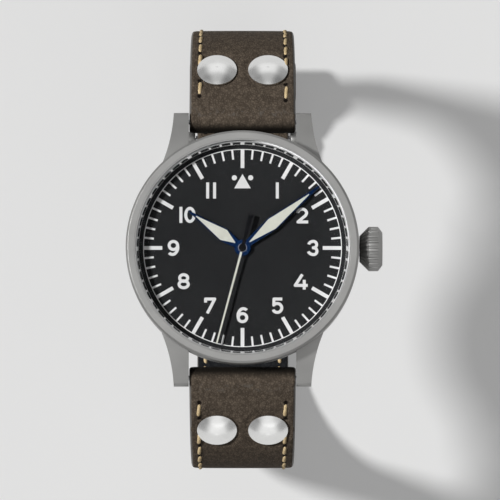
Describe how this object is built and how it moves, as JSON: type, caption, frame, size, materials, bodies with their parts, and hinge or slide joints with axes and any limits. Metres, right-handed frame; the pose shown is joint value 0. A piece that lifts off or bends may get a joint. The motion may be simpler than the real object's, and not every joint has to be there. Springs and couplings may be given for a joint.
{
  "type": "pilot watch",
  "caption": "Round pilot wristwatch with a dark three-hand dial, fluted crown, open lugs and a riveted two-piece leather strap with a pin buckle.",
  "frame": {"origin": "centre of the case back's flat outer face", "axes": "+Z out through the dial, +Y towards 12 o'clock, +X towards the crown at 3 o'clock"},
  "size_m": [0.0429, 0.0743, 0.0726],
  "materials": {
    "blasted_steel": "bead blasted, matt",
    "polished_steel": "polished",
    "satin_steel": "satin",
    "sapphire": "clear",
    "seal": "matt",
    "movement_brass": "plated, satin",
    "movement_steel": "polished",
    "dial_black": "matt",
    "print_white": "matt print",
    "blued_steel": "heat blued",
    "lume": "cream lume, matt",
    "hand_dark": "satin black",
    "leather_outer": "fine grain, dark olive brown",
    "leather_lining": "grey lining"
  },
  "bodies": {
    "case": {"case_middle": "blasted_steel", "bezel": "blasted_steel", "glass": "sapphire", "glass_gasket": "seal", "rehaut_ring": "polished_steel", "case_back": "satin_steel", "case_back_gasket": "seal", "crown_tube": "movement_steel", "movement_ring": "movement_steel", "main_plate": "movement_brass", "train_bridge": "movement_brass", "balance_cock": "movement_brass", "dial": "dial_black", "dial_print": "print_white", "spring_bar_upper": "movement_steel", "spring_bar_lower": "movement_steel"},
    "clutch": {"sliding_pinion": "movement_steel", "winding_pinion": "movement_steel"},
    "crown": {"crown": "blasted_steel", "crown_gasket": "seal", "winding_stem": "movement_steel"},
    "crown_wheel": {"crown_wheel": "movement_steel"},
    "ratchet": {"ratchet_wheel": "movement_steel", "barrel_arbor": "movement_steel"},
    "barrel": {"barrel": "movement_brass", "mainspring": "movement_steel"},
    "second_wheel": {"second_wheel": "movement_brass"},
    "third_wheel": {"third_wheel": "movement_brass"},
    "seconds": {"fourth_wheel": "movement_brass", "second_hand": "hand_dark", "second_hand_lume": "lume"},
    "escape_wheel": {"escape_wheel": "movement_steel"},
    "pallet_fork": {"pallet_fork": "movement_steel"},
    "balance": {"balance_wheel": "movement_brass", "hairspring": "movement_steel"},
    "minutes": {"cannon_pinion": "movement_steel", "minute_hand": "blued_steel", "minute_hand_lume": "lume"},
    "minute_wheel": {"minute_wheel": "movement_brass"},
    "hours": {"hour_wheel": "movement_brass", "hour_hand": "blued_steel", "hour_hand_lume": "lume"},
    "pin_upper_crown": {"bar_pin_upper_crown": "movement_steel"},
    "pin_upper_far": {"bar_pin_upper_far": "movement_steel"},
    "pin_lower_crown": {"bar_pin_lower_crown": "movement_steel"},
    "pin_lower_far": {"bar_pin_lower_far": "movement_steel"},
    "strap_upper": {"strap_upper": "leather_outer", "strap_upper_lining": "leather_lining", "strap_upper_rivets": "polished_steel", "keeper_fixed": "leather_outer", "buckle_bar": "movement_steel"},
    "keeper_sliding": {"keeper_sliding": "leather_outer"},
    "buckle_frame": {"buckle_frame": "blasted_steel"},
    "buckle_tongue": {"buckle_tongue": "blasted_steel"},
    "strap_lower": {"strap_lower": "leather_outer", "strap_lower_lining": "leather_lining", "strap_lower_rivets": "polished_steel"}
  },
  "joints": [
    {"name": "crown_turn", "type": "hinge", "parent": "case", "child": "clutch", "pos_m": [0.009, 0, 0.0038], "axis": [1, 0, 0], "continuous": true},
    {"name": "crown_pull", "type": "slide", "parent": "clutch", "child": "crown", "axis": [1, 0, 0], "range_m": [0, 0.0009]},
    {"name": "crown_wheel_turn", "type": "hinge", "parent": "case", "child": "crown_wheel", "pos_m": [0.00735, -0.0007, 0.004], "axis": [0, 0, 1], "continuous": true},
    {"name": "ratchet_turn", "type": "hinge", "parent": "case", "child": "ratchet", "pos_m": [0.00475, -0.0057, 0.004], "axis": [0, 0, 1], "continuous": true},
    {"name": "seconds_turn", "type": "hinge", "parent": "case", "child": "seconds", "pos_m": [0, 0, 0.004], "axis": [0, 0, -1], "continuous": true},
    {"name": "minutes_turn", "type": "hinge", "parent": "case", "child": "minutes", "pos_m": [0, 0, 0.004], "axis": [0, 0, -1], "continuous": true},
    {"name": "hours_turn", "type": "hinge", "parent": "case", "child": "hours", "pos_m": [0, 0, 0.004], "axis": [0, 0, -1], "continuous": true},
    {"name": "minute_wheel_turn", "type": "hinge", "parent": "case", "child": "minute_wheel", "pos_m": [-0.0023, 0.0023, 0.004], "axis": [0, 0, -1], "continuous": true},
    {"name": "second_wheel_turn", "type": "hinge", "parent": "case", "child": "second_wheel", "pos_m": [0.00435, 0.00005, 0.004], "axis": [0, 0, -1], "continuous": true},
    {"name": "third_wheel_turn", "type": "hinge", "parent": "case", "child": "third_wheel", "pos_m": [0.0016, 0.00305, 0.004], "axis": [0, 0, -1], "continuous": true},
    {"name": "escape_wheel_turn", "type": "hinge", "parent": "case", "child": "escape_wheel", "pos_m": [-0.0034, 0.0004, 0.004], "axis": [0, 0, -1], "continuous": true},
    {"name": "barrel_turn", "type": "hinge", "parent": "case", "child": "barrel", "pos_m": [0.00475, -0.0057, 0.004], "axis": [0, 0, -1], "continuous": true},
    {"name": "pallet_fork_rock", "type": "hinge", "parent": "case", "child": "pallet_fork", "pos_m": [-0.00465, -0.00165, 0.004], "axis": [0, 0, 1], "range_deg": [-5, 5]},
    {"name": "balance_swing", "type": "hinge", "parent": "case", "child": "balance", "pos_m": [-0.0062, -0.0042, 0.003], "axis": [0, 0, 1], "range_deg": [-270, 270], "stiffness_Nm_per_rad": 0.0000002},
    {"name": "pin_upper_crown_press", "type": "slide", "parent": "case", "child": "pin_upper_crown", "axis": [-1, 0, 0], "range_m": [0, 0.001], "stiffness_N_per_m": 150},
    {"name": "pin_upper_far_press", "type": "slide", "parent": "case", "child": "pin_upper_far", "axis": [1, 0, 0], "range_m": [0, 0.001], "stiffness_N_per_m": 150},
    {"name": "pin_lower_crown_press", "type": "slide", "parent": "case", "child": "pin_lower_crown", "axis": [-1, 0, 0], "range_m": [0, 0.001], "stiffness_N_per_m": 150},
    {"name": "pin_lower_far_press", "type": "slide", "parent": "case", "child": "pin_lower_far", "axis": [1, 0, 0], "range_m": [0, 0.001], "stiffness_N_per_m": 150},
    {"name": "strap_upper_swing", "type": "hinge", "parent": "case", "child": "strap_upper", "pos_m": [0, 0.0215, 0.002], "axis": [1, 0, 0], "range_deg": [0, 75]},
    {"name": "strap_lower_swing", "type": "hinge", "parent": "case", "child": "strap_lower", "pos_m": [0, -0.0215, 0.002], "axis": [-1, 0, 0], "range_deg": [0, 75]},
    {"name": "keeper_slide", "type": "hinge", "parent": "strap_upper", "child": "keeper_sliding", "pos_m": [0, 0.0153, -0.04], "axis": [-1, 0, 0], "range_deg": [-31, 1]},
    {"name": "buckle_frame_swing", "type": "hinge", "parent": "strap_upper", "child": "buckle_frame", "pos_m": [0, 0.02447, -0.06], "axis": [1, 0, 0], "range_deg": [-20, 45]},
    {"name": "buckle_tongue_swing", "type": "hinge", "parent": "buckle_frame", "child": "buckle_tongue", "pos_m": [0, 0.02447, -0.06], "axis": [1, 0, 0], "range_deg": [0, 70]}
  ],
  "couplings": [
    {"joint": "crown_wheel_turn", "follows": "crown_turn", "ratio": -0.53333},
    {"joint": "ratchet_turn", "follows": "crown_turn", "ratio": 0.33333},
    {"joint": "minutes_turn", "follows": "seconds_turn", "ratio": 0.016667},
    {"joint": "hours_turn", "follows": "seconds_turn", "ratio": 0.0013889},
    {"joint": "minute_wheel_turn", "follows": "seconds_turn", "ratio": -0.0055556},
    {"joint": "second_wheel_turn", "follows": "seconds_turn", "ratio": 0.016667},
    {"joint": "third_wheel_turn", "follows": "seconds_turn", "ratio": -0.13333},
    {"joint": "escape_wheel_turn", "follows": "seconds_turn", "ratio": -10},
    {"joint": "barrel_turn", "follows": "seconds_turn", "ratio": -0.002381}
  ]
}
